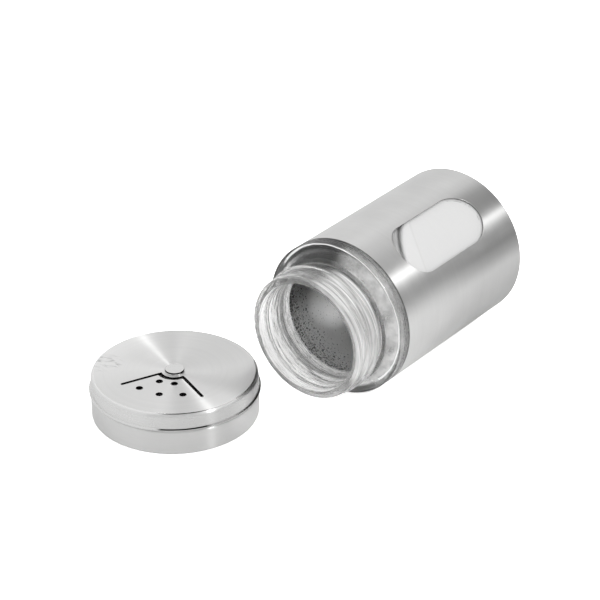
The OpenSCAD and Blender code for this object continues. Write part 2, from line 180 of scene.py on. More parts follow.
def rounded_ring(inner_r, outer_r, low, high, radius=0.3):
    """Profile of a flat ring with rounded edges."""
    inner, outer, under, over = inner_r + radius, outer_r - radius, low + radius, high - radius
    return (arc((outer, over), radius, 90, 0, 4) + arc((outer, under), radius, 0, -90, 4)
            + arc((inner, under), radius, -90, -180, 4) + arc((inner, over), radius, 180, 90, 4))


def turned(points, degrees):
    c, s = math.cos(math.radians(degrees)), math.sin(math.radians(degrees))
    return [(x * c - y * s, x * s + y * c) for x, y in points]


def grown_outline(outline, distance, sharpest=0.4):
    """An outline moved outwards by a small distance."""
    if not distance:
        return list(outline)
    n = len(outline)
    following = outline[1:] + outline[:1]
    area = sum(a[0] * b[1] - b[0] * a[1] for a, b in zip(outline, following))
    side = 1 if area > 0 else -1
    grown = []
    for i in range(n):
        a, p, b = Vector(outline[i - 1]), Vector(outline[i]), Vector(following[i])
        u, v = (p - a).normalized(), (b - p).normalized()
        normal = Vector((u.y + v.y, -u.x - v.x)).normalized() * side
        lean = max(sharpest, normal.dot(Vector((u.y, -u.x)) * side))
        grown.append(tuple(p + normal * distance / lean))
    return grown


def inside(point, polygon):
    found = False
    for i, a in enumerate(polygon):
        b = polygon[i - 1]
        if (a.y > point.y) != (b.y > point.y):
            if point.x < (b.x - a.x) * (point.y - a.y) / (b.y - a.y) + a.x:
                found = not found
    return found


def pierced_plate(bm, rim_r, segments, top, bottom, outlines, bevel=0.13):
    """A round plate on the cap with cut-outs, whose upper edges are broken. Returns the rim's
    upper and lower vertices."""
    def face(height, grow):
        points = [Vector(p) for p in circle_outline((0, 0), rim_r, segments)]
        edges = [(i, (i + 1) % segments) for i in range(segments)]
        loops = []
        for outline in outlines:
            first, n = len(points), len(outline)
            points += [Vector(p) for p in grown_outline(outline, grow)]
            edges += [(first + i, first + (i + 1) % n) for i in range(n)]
            loops.append(range(first, first + n))
        verts, _, faces, originals, _, _ = delaunay_2d_cdt(points, edges, [], 1, 1e-7)
        made = [bm.verts.new(on_cap(v.length, math.atan2(v.y, v.x), height)) for v in verts]
        place_of = {source: i for i, sources in enumerate(originals) for source in sources}
        for f in faces:
            centre = sum((verts[i] for i in f), Vector((0, 0))) / len(f)
            if not any(inside(centre, [points[k] for k in loop]) for loop in loops):
                bm.faces.new([made[i] for i in f])
        at = [made[place_of[i]] for i in range(len(points))]
        return at[:segments], [[at[k] for k in loop] for loop in loops]

    upper_rim, upper_cuts = face(top, bevel)
    lower_rim, lower_cuts = face(bottom, 0.0)
    edge_z = top - 0.6 * bevel
    for outline, upper, lower in zip(outlines, upper_cuts, lower_cuts):
        edge = [bm.verts.new(on_cap(math.hypot(x, y), math.atan2(y, x), edge_z))
                for x, y in outline]
        bridge(bm, upper, edge)
        bridge(bm, edge, lower)
    return upper_rim, lower_rim


# ---- material tools
def sums(operation, turned=False):
    """A method of Value that adds one math node."""
    def method(self, other=0.0):
        return self.nodes.math(operation, *((other, self) if turned else (self, other)))
    return method


class Value:
    """A number in a node tree. Sums with it add math nodes."""

    __add__, __sub__, __mul__ = sums("ADD"), sums("SUBTRACT"), sums("MULTIPLY")
    __rsub__, __rmul__ = sums("SUBTRACT", True), sums("MULTIPLY", True)
    __truediv__, __pow__, __abs__ = sums("DIVIDE"), sums("POWER"), sums("ABSOLUTE")
    __gt__, __lt__ = sums("GREATER_THAN"), sums("LESS_THAN")

    def __init__(self, nodes, socket):
        self.nodes, self.socket = nodes, socket


class Nodes:
    """Short way to build a node tree."""

    def __init__(self, tree):
        self.tree = tree
        tree.nodes.clear()

    def add(self, kind, inputs=(), **settings):
        """Adds a node. An input is a constant, a value, or a node whose first output is taken."""
        node = self.tree.nodes.new(kind)
        for name, value in settings.items():
            setattr(node, name, value)
        for name, value in dict(inputs).items():
            if isinstance(value, Value):
                self.tree.links.new(value.socket, node.inputs[name])
            elif isinstance(value, bpy.types.Node):
                self.tree.links.new(value.outputs[0], node.inputs[name])
            else:
                node.inputs[name].default_value = value
        return node

    def value(self, kind, inputs=(), output=0, **settings):
        """Adds a node and gives one of its outputs."""
        return Value(self, self.add(kind, inputs, **settings).outputs[output])

    def math(self, operation, a, b=0.0):
        return self.value("ShaderNodeMath", {0: a, 1: b}, operation=operation)

    def larger(self, a, b):
        return self.math("MAXIMUM", a, b)

    def vector(self, x, y, z):
        return self.value("ShaderNodeCombineXYZ", {0: x, 1: y, 2: z})

    def scaled(self, colour, factor):
        return self.value("ShaderNodeVectorMath", {0: colour, 3: factor}, operation="SCALE")

    def ray(self, kind):
        """1 for rays of one kind, such as Camera, and 0 for the others."""
        return self.value("ShaderNodeLightPath", output=f"Is {kind} Ray")

    def bump(self, height, strength, distance, under=None):
        inputs = {"Height": height, "Strength": strength, "Distance": distance}
        return self.add("ShaderNodeBump", {**inputs, "Normal": under} if under else inputs)

    def surface(self, shader):
        self.add("ShaderNodeOutputMaterial", {"Surface": shader})

    def noise(self, vector, scale, detail=2.0, roughness=0.5):
        return self.value("ShaderNodeTexNoise", {
            "Vector": vector, "Scale": scale, "Detail": detail, "Roughness": roughness})

    def ranged(self, value, low, high, to_low, to_high, smooth=False):
        return self.value("ShaderNodeMapRange", {0: value, 1: low, 2: high, 3: to_low, 4: to_high},
                          interpolation_type="SMOOTHSTEP" if smooth else "LINEAR")

    def rises(self, value, low, high, smooth=False):
        """A mask: 0 below low and 1 above high."""
        return self.ranged(value, low, high, 0.0, 1.0, smooth)

    def falls(self, value, low, high, smooth=False):
        """A mask: 1 below low and 0 above high."""
        return self.ranged(value, low, high, 1.0, 0.0, smooth)

    def mixed(self, mask, off, on):
        """One number where a mask is 0 and another where it is 1."""
        return self.ranged(mask, 0.0, 1.0, off, on)


def new_material(name):
    material = bpy.data.materials.new(name)
    material.use_nodes = True
    return material, Nodes(material.node_tree)


def local_axes(t, centre):
    """Object coordinates in millimetres from a point, as three values."""
    at = t.value("ShaderNodeTexCoord", output="Object")
    split = t.add("ShaderNodeSeparateXYZ", {0: at})
    return [Value(t, split.outputs[i]) * (1 / MM) - centre[i] for i in range(3)]


def radial(a, b):
    return a.nodes.math("SQRT", a * a + b * b)


def ahead(x, y, degrees):
    """How far a point lies in one direction, as a turn from x towards y."""
    return x * math.cos(math.radians(degrees)) + y * math.sin(math.radians(degrees))


def uneven(noise, depth):
    """A noise as a swing round 0."""
    return (noise - 0.5) * depth


# brushed steel: scales of its noises along and across the brushing, and how far they swing it
HAIR_ALONG, HAIR_ACROSS, STREAK_ALONG, STREAK_ACROSS, CLOUD_SCALE = 0.035, 5.0, 0.02, 0.7, 0.07
LINE_TONE, CLOUD_TONE, STREAK_ROUGH, CLOUD_ROUGH = 0.05, 0.10, 0.05, 0.12
GLANCING = (0.9, 0.9, 0.9, 1.0)


def brushed_steel(name, tone, roughness, around, anisotropy=0.85, hairline=1.0, smudge=1.0,
                  places=None):
    """Steel brushed in circles round the jar's axis (around="jar") or the cap's (around="cap").
    places(t, x, y, z, r) gives a factor on the tone and an addition to the roughness."""
    material, t = new_material(name)
    if around == "jar":
        x, y, z = local_axes(t, (JAR_X, JAR_Y, JAR_Z))
        axis, along, side, over = "Y", y, x, z
    else:
        x, y, z = local_axes(t, (CAP_X, CAP_Y, 0))
        axis, along, side, over = "Z", z, x, y
    r = radial(side, over)

    def brushed(along_scale, across_scale):
        return t.vector(side * along_scale, over * along_scale, (along + r) * across_scale)

    hair = t.noise(brushed(HAIR_ALONG, HAIR_ACROSS), 1.0, 3.0, 0.6)
    streak = t.noise(brushed(STREAK_ALONG, STREAK_ACROSS), 1.0, 2.0, 0.5)
    cloud = t.noise(t.vector(x, y, z), CLOUD_SCALE, 3.0, 0.55)
    lines = uneven(streak, LINE_TONE * hairline) + uneven(cloud, CLOUD_TONE * smudge)
    light = uneven(hair, LINE_TONE * hairline) + lines + 1.0
    rough = uneven(cloud, CLOUD_ROUGH * smudge) + (uneven(streak, STREAK_ROUGH) + roughness)
    if places:
        factor, extra = places(t, x, y, z, r)
        light, rough = light * factor, rough + extra
    shader = t.add("ShaderNodeBsdfPrincipled", {
        "Base Color": t.scaled(tone, light), "Metallic": 1.0, "Roughness": rough,
        "Specular Tint": GLANCING, "Anisotropic": anisotropy, "Anisotropic Rotation": 0.25,
        "Normal": t.bump(hair, 0.25, 0.00002),
        "Tangent": t.add("ShaderNodeTangent", direction_type="RADIAL", axis=axis)})
    t.surface(shader)
    return material


# painted shade and light on the sleeve: its fall to the rear on the left and on the right, its
# darker bands as turns from straight up between which they rise and fall, and its bore, which is
# lightened, with shade on one side
SLEEVE_TONE, SHADE_FALL_LEFT, SHADE_FALL_RIGHT = 1.04, 0.06, 0.16
SHADE_BANDS, BANDS_FROM, BANDS_TO, SHADE_BAND_DEPTH = ((14, 26, 42, 47), (60, 67, 72, 84)), 15, 60, 0.28
BORE_LIGHT, BORE_DULL, BORE_SHADE_FROM, BORE_SHADE_TO, BORE_SHADE = 1.44, 0.4, -125.0, -95.0, 0.72


def sleeve_places(t, x, y, z, r):
    """The cut front rim is dark and the bore is left dull. Painted shade makes the tone fall off
    to the rear and darker in bands; painted light lightens the bore, and painted shade darkens
    one side of it.
    """
    rim = t.ranged(y, 0.15, 0.3, 0.25, 1.0)
    bore = t.falls(r, SLEEVE_R - 0.35, SLEEVE_R - 0.2)
    side = t.rises(x, 8.0, 18.0, smooth=True)
    # painted shade: the tone falls off towards the rear
    shade_fall = t.rises(y, 0.0, SLEEVE_LENGTH) * t.mixed(side, SHADE_FALL_LEFT, SHADE_FALL_RIGHT)
    # painted light: the bore's tone is raised
    tone = (SLEEVE_TONE - shade_fall) * t.mixed(bore, 1.0, BORE_LIGHT)
    angle = t.math("ARCTAN2", x, z) * (180 / math.pi)
    # painted shade: darker bands round the sleeve
    shade_bands = t.larger(*[t.rises(angle, a, b, smooth=True) * t.falls(angle, c, d, smooth=True)
                       for a, b, c, d in SHADE_BANDS])
    shade_bands = shade_bands * t.ranged(y, BANDS_FROM, BANDS_TO, 0.0, SHADE_BAND_DEPTH, smooth=True)
    tone = tone * (1.0 - shade_bands * (1.0 - bore))
    # painted shade on one side of the bore
    bore_shade = bore * (t.rises(angle, BORE_SHADE_FROM, BORE_SHADE_TO, smooth=True) * BORE_SHADE)
    return rim * (tone * (1.0 - bore_shade)), bore * BORE_DULL


def base_places(t, x, y, z, r):
    """The face towards the glass is left dull and dark."""
    front = t.falls(y, PLATE_Z + 0.1, PLATE_Z + 0.2)
    return t.mixed(front, 1.0, 0.5), front * 0.3


# the dial's top: turns of its side and flank made paler by painted light and how pale they are,
# painted light across the top and on the top against the skirt, and the scuffs
DIAL_LIT_TURN, DIAL_LIT, FLANK_TURN, FLANK_LIGHT = -142.5, 1.09, 138.0, 0.11
CROSS_LIGHT_IN, CROSS_LIGHT_OUT, TOP_LIGHT = 0.13, 0.22, 0.15
SCUFF_R, SCUFF_TURN, SCUFF_LEAN, SCUFF_TONE = 27.5, -154.0, 12.0, 0.6
POLISHED = -0.3


def dial_places(t, x, y, z, r):
    """Painted shade darkens the walls of the slits and holes and the underside. Painted light
    makes one side paler, lifts the top towards its flanks, and keeps the skirt darker than the top.
    """
    # painted shade: the walls of the slits and holes and the underside are made almost black
    below = t.falls(z, CAP_HEIGHT - 0.015, CAP_HEIGHT - 0.003)
    painted_shade = below * t.falls(r, DIAL_FLAT_R - 1.0, DIAL_FLAT_R - 0.5)
    reach = t.larger(r, 1.0)
    # painted light: one side of the dial is paler
    lit_side = t.ranged(ahead(x, y, DIAL_LIT_TURN) / reach, -0.3, 0.5, 1.0, DIAL_LIT, smooth=True)
    tone = lit_side * t.mixed(scuffs(t, x, y), 1.0, SCUFF_TONE)
    # painted light across the top and on one flank; the skirt is kept darker than the top
    cross_light = abs(x / reach) ** 4.0 * t.ranged(r, 20.0, 29.0, CROSS_LIGHT_IN, CROSS_LIGHT_OUT)
    painted_light = cross_light + abs(ahead(x, y, FLANK_TURN) / reach) ** 12.0 * FLANK_LIGHT
    top = t.rises(z, CAP_HEIGHT - 1.3, CAP_HEIGHT - 0.5)
    tone = tone * (top * (painted_light + TOP_LIGHT) + (1 - TOP_LIGHT))
    skirt = t.ranged(z, CAP_HEIGHT - 1.4, CAP_HEIGHT - 0.8, -0.1, 0.0)
    corner = t.rises(z, CAP_HEIGHT - 0.3, CAP_HEIGHT - 0.22)
    corner = corner * t.rises(r, DIAL_FLAT_R + 0.12, DIAL_FLAT_R + 0.2)
    facet_low, facet_high = HEM_Z + FACET_LOW[1], HEM_Z + FACET_HIGH[1]
    hem = t.rises(z, facet_low - 0.05, facet_low) * t.falls(z, facet_high, facet_high + 0.05)
    polished = t.larger(corner, hem * (r > DIAL_R - 0.7)) * POLISHED
    return tone * t.mixed(painted_shade, 1.0, 0.01), skirt + painted_shade * 0.3 + polished


def scuffs(t, x, y):
    """A mask of a few fine scratches near the dial's rim."""
    turn, lean = math.radians(SCUFF_TURN), math.radians(SCUFF_LEAN)
    away = radial(x - SCUFF_R * math.cos(turn), y - SCUFF_R * math.sin(turn))
    patchy = t.ranged(t.noise(t.vector(x, y, 3.0), 0.22, 1.0), 0.4, 0.6, 0.2, 1.0)
    over = y * math.cos(lean) - x * math.sin(lean)
    over = over + t.noise(t.vector(x, y, 0.0), 0.12, 1.0) * 5.0
    line = t.noise(t.vector(ahead(x, y, SCUFF_LEAN) * 0.07, over * 0.5, 0.0), 1.0, 2.0)
    thin = t.falls(abs(line - 0.5), 0.01, 0.035)
    return thin * (t.falls(away, 4.0, 8.0, smooth=True) * patchy)


def rivet_places(t, x, y, z, r):
    """Painted shade: the step round the head's upper disc is painted black."""
    step_z = CAP_HEIGHT + HEAD_HEIGHT - STEP_LOW
    step = t.rises(z, step_z, step_z + 0.01) * (r > STEP_R - STEP_EDGE + 0.02)
    return t.mixed(step, 1.0, 0.0), step * 0.6


def shell_places(t, x, y, z, r):
    """Painted shade darkens the faces that the dial covers: the closing plate's top and the
    collar's outside.
    """
    plate = t.rises(z, SHELL_TOP - 0.12, SHELL_TOP - 0.04)
    collar = t.rises(r, COLLAR_R - 0.1, COLLAR_R - 0.04)
    collar = collar * t.rises(z, BAND_HEIGHT + 0.05, BAND_HEIGHT + 0.3)
    # painted shade under the dial
    painted_shade = t.larger(plate, collar)
    return t.mixed(painted_shade, 1.0, 0.06), painted_shade * 0.3


def plain_plastic(name, colour, roughness, grain, sheen=0.0):
    """Dull plastic, rubber or foam with a fine grain, whose scale is per mm."""
    material, t = new_material(name)
    at = t.value("ShaderNodeTexCoord", output="Object")
    fine = t.noise(at, grain / MM, 2.0)
    cloud = t.noise(at, 0.05 / MM, 2.0)
    shader = t.add("ShaderNodeBsdfPrincipled", {
        "Base Color": t.scaled(colour, uneven(cloud, 0.12) + 1.0),
        "Roughness": uneven(fine, 0.1) + roughness, "Sheen Weight": sheen,
        "Normal": t.bump(fine, 0.3, 0.00005)})
    t.surface(shader)
    return material


# the satin field behind the window: its overlap past the window's edge, its least place outwards,
# and three arcs in the window's own axes, as (sideways, along, radius)
FIELD_OVERLAP, FIELD_OUTWARDS = 1.6, 20.0
FIELD_FRONT_ARC = (17.0, 40.0, 30.0)
FOLD_ARC = (19.7, 60.1, 41.6)
FAR_ARC = (0.0, 52.0, 9.75)
# tones of the glass and of its marks, and how much haze each mark has
GLASS_TONE, NECK_TONE, SATIN_TONE, SHADED_TONE = 0.975, 0.94, 0.94, 0.3
JOINT_TONE, EDGE_SHADE_TONE, SPECK_TONE = 0.03, 0.1, 0.06
GLASS_HAZE, NECK_HAZE, SATIN_HAZE, CORNER_HIGHLIGHT = 0.02, 0.06, 0.85, 0.9
NECK_FROST, BEAD_FROST, INNER_HAZE, SPECK_HAZE, EDGE_SHADE_HAZE = 0.62, 0.4, 0.5, 0.85, 0.6
# turns from straight up at which the marks lie
FROST_TURN, BEAD_FROST_TURN, SHADED_TURN, NECK_SHADE_TURN = 62.0, 75.0, -24.0, -20.0
JOINT_TURN, SPECK_TURN, HAZED_TURN = -10.0, -138.0, -168.0
# the painted highlight line on the bead's corner: its turn, place, swing, tilt and half width
HIGHLIGHT_TURN, HIGHLIGHT_FROM, HIGHLIGHT_SWING, HIGHLIGHT_TILT, HIGHLIGHT_WIDTH = 40.0, 5.5, 2.2, 0.55, 0.27
SPECK_REACH = 15.0


class JarPlace:
    """A place on the jar in millimetres, about its axis and in the window's own axes."""

    def __init__(self, t):
        self.t = t
        self.x, self.y, self.z = local_axes(t, (JAR_X, JAR_Y, JAR_Z))
        self.r = radial(self.x, self.z)
        turn = math.radians(WINDOW_TURN)
        self.sideways = self.x * math.cos(turn) - self.z * math.sin(turn)
        self.outwards = self.x * math.sin(turn) + self.z * math.cos(turn)

    def from_arc(self, place):
        """Distance outwards from an arc on the field."""
        across, along, radius = place
        return radial(self.sideways - across, self.y - along) - radius

    def from_field(self):
        """Distance outwards from the satin field's outline."""
        half = WINDOW_WIDTH / 2
        low, high = WINDOW_START + half, WINDOW_START + WINDOW_LENGTH - half
        beyond = self.y - self.t.math("MINIMUM", self.t.larger(self.y, low), high)
        return radial(self.sideways, beyond) - (half + FIELD_OVERLAP)

    def noise(self, scale, detail=2.0, roughness=0.5):
        return self.t.noise(self.t.vector(self.x, self.y, self.z), scale, detail, roughness)

    def rings(self, stretch, seed):
        """Lines round the axis."""
        at = self.t.vector(self.x * 0.04, self.y * stretch + seed, self.z * 0.04)
        return self.t.noise(at, 1.0, 2.0, 0.6)

    def cosine(self, degrees):
        """Cosine of the turn round the jar from a given turn."""
        lean = math.radians(degrees)
        return (self.x * math.sin(lean) + self.z * math.cos(lean)) / self.r

    def towards(self, degrees, low, high):
        """A mask for one side of the jar: 0 below the cosine low, 1 above the cosine high."""
        return self.t.rises(self.cosine(degrees), low, high, smooth=True)


def satin_field(t, jar):
    """The satin field behind the window: its mask and its tone."""
    y = jar.y
    front = t.falls(jar.from_arc(FIELD_FRONT_ARC), -0.8, 1.6, smooth=True)
    field = t.falls(jar.from_field(), -0.2, 0.2) * t.larger(front, y > WINDOW_START + WINDOW_WIDTH)
    field = field * (jar.outwards > FIELD_OUTWARDS) * (jar.r > GLASS_R - 0.2)
    grain = t.mixed(jar.noise(3.0), 0.98, 1.02)
    fold = t.ranged(abs(jar.from_arc(FOLD_ARC)), 0.1, 0.7, 0.06, 0.0, smooth=True)
    ahead_of_fold = t.ranged(jar.from_arc(FOLD_ARC), -0.3, 0.3, 0.0, 0.03)
    broken = t.ranged(jar.noise(0.35), 0.5, 0.6, 0.0, 0.4)
    # painted shade: a broken dark line near the field's far end
    far_shade = t.falls(abs(jar.from_arc(FAR_ARC)), 0.08, 0.25) * broken
    far_shade = far_shade * (y > WINDOW_START + WINDOW_LENGTH - WINDOW_WIDTH / 2 + 2.0)
    return field, SATIN_TONE * (grain + ahead_of_fold - (fold + far_shade))


def window_arc(t, jar):
    """Haze of the pale arc in the clear crescent before the satin field."""
    haze = t.ranged(abs(jar.from_arc(FIELD_FRONT_ARC) - 3.0), 0.5, 1.5, 0.4, 0.0, smooth=True)
    haze = haze * ((jar.outwards > FIELD_OUTWARDS) * (jar.r > GLASS_R - 0.2))
    return haze * ((jar.y > 8.0) * (jar.y < 30.0))


def neck_marks(t, jar):
    """The neck: its mask, the mask of its frosted side, and its haze."""
    neck = t.falls(jar.y, -9.6, -8.6) * t.falls(jar.r, 25.5, 26.5)
    streaked = t.ranged(jar.rings(1.6, 0.0), 0.35, 0.65, 0.4, 1.6)
    frosted = jar.towards(FROST_TURN, 0.45, 0.75) * (jar.r > NECK_R - 0.5)
    return neck, frosted, neck * (streaked * t.mixed(frosted, NECK_HAZE, NECK_FROST))


def bead_marks(t, jar):
    """The shoulder and the bead's front: the haze of their frost, and the mask of a side with
    painted shade.
    """
    y, r = jar.y, jar.r
    front = t.rises(y, -9.0, -8.0) * (y < -0.4) * (r > NECK_R + 0.5)
    blotch = t.ranged(t.noise(t.vector(jar.x, y * 1.5, jar.z), 0.22, 3.0), 0.35, 0.65, 0.5, 1.5)
    frost = front * jar.towards(BEAD_FROST_TURN, 0.25, 0.7) * (blotch * BEAD_FROST)
    frost = frost * (r > y * -0.9 + 18.6)
    lined = t.rises(jar.rings(6.0, 1.0), 0.38, 0.62) * 0.55
    on_bead = t.rises(r, SLEEVE_R - 0.9, SLEEVE_R - 0.6)
    frost = frost * (1.0 - on_bead + on_bead * lined)
    return frost, front * jar.towards(SHADED_TURN, 0.86, 0.93)


def painted_corner_highlight(t, jar):
    """A painted highlight line that wanders along the bead's corner."""
    facing = jar.cosine(HIGHLIGHT_TURN)
    curved = (1.0 - facing) ** 2.0
    middle = curved * HIGHLIGHT_SWING + (jar.cosine(HIGHLIGHT_TURN + 90) * HIGHLIGHT_TILT + HIGHLIGHT_FROM)
    width = t.mixed(curved, HIGHLIGHT_WIDTH, 2.2 * HIGHLIGHT_WIDTH)
    path = (SLEEVE_R - jar.r) * 0.75 - jar.y
    wobble = uneven(t.noise(t.vector(jar.x, 0.0, jar.z), 0.25, 2.0), 0.6)
    off = abs(path - middle + wobble)
    return t.falls(off - width, -0.1, 0.1) * (t.rises(facing, -0.12, 0.0) * (jar.r > 27.9))


def sleeve_joint(t, jar):
    """The dark line where the bead meets the sleeve, wider at one place."""
    place = jar.y + jar.towards(JOINT_TURN, 0.96, 0.995) * 0.8
    joint = t.rises(place, -0.45, -0.25) * t.rises(jar.r, SLEEVE_R - 0.75, SLEEVE_R - 0.6)
    return joint * t.falls(jar.y, 0.1, 0.2)


def inner_marks(t, jar):
    """The inside of the body: the mask of its hazed side, and the haze of the specks on it."""
    inner = (jar.r < GLASS_BORE_R + 0.2) * t.rises(jar.y, -4.5, -3.5)
    dust = jar.noise(1.45, 3.0, 0.65) + t.ranged(jar.y, -2.0, SPECK_REACH, 0.06, -0.12)
    dirty = inner * jar.towards(SPECK_TURN, 0.45, 0.7)
    speck = dirty * t.ranged(dust, 0.52, 0.57, 0.0, SPECK_HAZE)
    return inner * jar.towards(HAZED_TURN, 0.3, 0.85), speck


def neck_shades(t, jar):
    """Factor on the tone inside the throat and the neck, and on the neck's outside."""
    inside_neck = jar.r < MOUTH_R + 0.4
    throat = inside_neck * (t.rises(jar.y, -11.6, -10.6) * t.falls(jar.y, -5.3, -4.8))
    throat = throat * t.ranged(jar.rings(2.4, 3.0), 0.35, 0.62, 0.7, 0.2)
    outside_neck = (jar.r > NECK_R - 0.5) * t.falls(jar.y, -8.8, -8.2)
    shade = jar.towards(NECK_SHADE_TURN, 0.88, 0.96) * t.ranged(jar.y, -15.0, -13.5, 0.0, 0.55)
    hairs = t.ranged(abs(jar.rings(1.2, 9.0) - 0.5), 0.006, 0.022, 0.5, 0.0)
    return 1.0 - throat, 1.0 - t.larger(outside_neck * shade, hairs * inside_neck)


def glass_bumps(t, jar):
    """The waves of pressed glass, the rings on the neck, and an orange-peel round the throat."""
    x, y, z, r = jar.x, jar.y, jar.z, jar.r
    wave = t.noise(t.vector(x * 0.12, y * 0.25, z * 0.12), 1.0, 2.0)
    ringed = t.ranged(y, -9.0, -6.5, 1.0, 0.25) * (y < -0.4)
    peeled = t.ranged(y, -3.0, 18.0, 0.6, 0.0, smooth=True)
    peeled = peeled * ((y > -5.2) * (r < GLASS_BORE_R + 0.2))
    bump = t.bump(wave, 0.5, 0.0006)
    bump = t.bump(jar.rings(1.1, 5.0), ringed * 0.6, 0.0004, bump)
    return t.bump(jar.noise(1.3, 2.0, 0.6), peeled, 0.0005, bump)


def clear_glass():
    """Clear glass with the faint waves and rings of pressed glass, a painted highlight line on the
    bead's corner, painted shade on one side and on edges seen edge-on, and a satin field behind
    the window."""
    material, t = new_material("clear_glass")
    jar = JarPlace(t)
    y, r = jar.y, jar.r
    field, satin = satin_field(t, jar)
    neck, frosted, neck_haze = neck_marks(t, jar)
    frost, shaded = bead_marks(t, jar)
    # a painted highlight line on the bead's corner
    corner, joint = painted_corner_highlight(t, jar), sleeve_joint(t, jar)
    hazed, speck = inner_marks(t, jar)
    # painted shade where the glass is seen edge-on: there it is hazier and darker
    facing = t.value("ShaderNodeLayerWeight", {"Blend": 0.5}, "Facing")
    edge = t.ranged(facing, 0.84, 0.97, 0.0, EDGE_SHADE_HAZE)

    haze = t.larger(t.larger(neck_haze + frost + GLASS_HAZE, edge), corner * CORNER_HIGHLIGHT)
    haze = t.larger(haze, t.larger(field * SATIN_HAZE, joint))
    haze = t.larger(haze, window_arc(t, jar))
    haze = t.larger(haze + hazed * INNER_HAZE, speck)

    level = field * (satin - GLASS_TONE) + GLASS_TONE
    unhighlighted = 1.0 - corner
    # the tone's marks: the joint's dark line, painted shade on one side of the shoulder and bead
    # and on edges seen edge-on, the dust specks, and the neck
    for mask, full, tone in ((joint, 1.0, JOINT_TONE), (shaded * unhighlighted, 1.0, SHADED_TONE),
                             (edge * unhighlighted, 1.0, EDGE_SHADE_TONE), (speck, SPECK_HAZE, SPECK_TONE),
                             (neck * (1.0 - frosted), 1.0, NECK_TONE)):
        level = level * t.ranged(mask, 0.0, full, 1.0, tone)
    for shade in neck_shades(t, jar):
        level = level * shade

    dull = (r > GLASS_BORE_R - 0.5) * t.ranged(y, 1.0, 5.0, 0.0, 0.35)
    dull = t.larger(dull, t.ranged(y, 64.0, 66.0, 0.0, 0.6)) * (1.0 - field)
    # the painted highlight line is partly metallic
    glass = t.add("ShaderNodeBsdfPrincipled", {
        "Base Color": t.vector(level, level, level * 0.996), "IOR": 1.52, "Metallic": corner * 0.7,
        "Roughness": field * 0.6 + corner * 0.3 + dull, "Transmission Weight": 1.0 - haze,
        "Normal": glass_bumps(t, jar)})
    # light passes the glass without a caustic, and less of it passes the satin field's edge
    spread = t.ranged(jar.from_field(), -10.0, 0.5, 1.0, 0.05, smooth=True)
    passed = t.ray("Shadow") * (1.0 - field + field * spread)
    clear = t.add("ShaderNodeBsdfTransparent", {0: (0.95, 0.95, 0.95, 1.0)})
    both = t.add("ShaderNodeMixShader", {0: passed, 1: glass, 2: clear})
    t.surface(both)
    return material


sleeve_steel = brushed_steel("sleeve_steel", (0.665, 0.665, 0.66), 0.36, "jar", hairline=1.5,
                             smudge=2.0, places=sleeve_places)
base_steel = brushed_steel("base_steel", (0.62, 0.62, 0.615), 0.34, "jar", places=base_places)
shell_steel = brushed_steel("shell_steel", (0.65, 0.65, 0.645), 0.3, "cap", anisotropy=1.0,
                            places=shell_places)
dial_steel = brushed_steel("dial_steel", (0.72, 0.72, 0.715), 0.36, "cap", anisotropy=1.0,
                           hairline=1.6, places=dial_places)
rivet_steel = brushed_steel("rivet_steel", (0.70, 0.70, 0.695), 0.22, "cap", anisotropy=0.5,
                            hairline=0.4, smudge=0.3, places=rivet_places)
spring_steel = brushed_steel("spring_steel", (0.3, 0.3, 0.3), 0.4, "cap", anisotropy=0.3)
ring_plastic = plain_plastic("ring_plastic", (0.03, 0.03, 0.03), 0.45, 2.0)
seal_rubber = plain_plastic("seal_rubber", (0.08, 0.08, 0.08), 0.55, 3.0, sheen=0.1)
pad_foam = plain_plastic("pad_foam", (0.05, 0.05, 0.05), 0.85, 4.0, sheen=0.3)
glass = clear_glass()


# ---- the glass jar
def eased(f):
    """A share from 0 to 1 with soft ends."""
    return f * f * (3 - 2 * f)


def ridge(turn, along):
    """Height of the neck's thread above the neck at one place."""
    best = 0.0
    first = math.degrees((turn - math.radians(THREAD_TURN + 90)) % TAU)
    flat, foot = THREAD_CREST / 2 - 0.2, THREAD_ROOT / 2 + 0.1
    for lap in range(2):
        angle = first + 360 * lap
        if angle > THREAD_TURNS * 360:
            continue
        centre = THREAD_START - MOUTH_FRONT + THREAD_PITCH * angle / 360
        ends = (THREAD_TURNS * 360 - angle) / THREAD_RUN_OUT
        ramp = eased(min(1.0, angle / THREAD_RUN_OUT, ends))
        height = (THREAD_CREST_R - NECK_R + THREAD_FOOT) * ramp - THREAD_FOOT
        if height <= 0:
            continue
        f = 1 - min(1.0, max(0.0, (abs(along - centre) - flat) / (foot - flat)))
        best = max(best, height * eased(f))
    return best


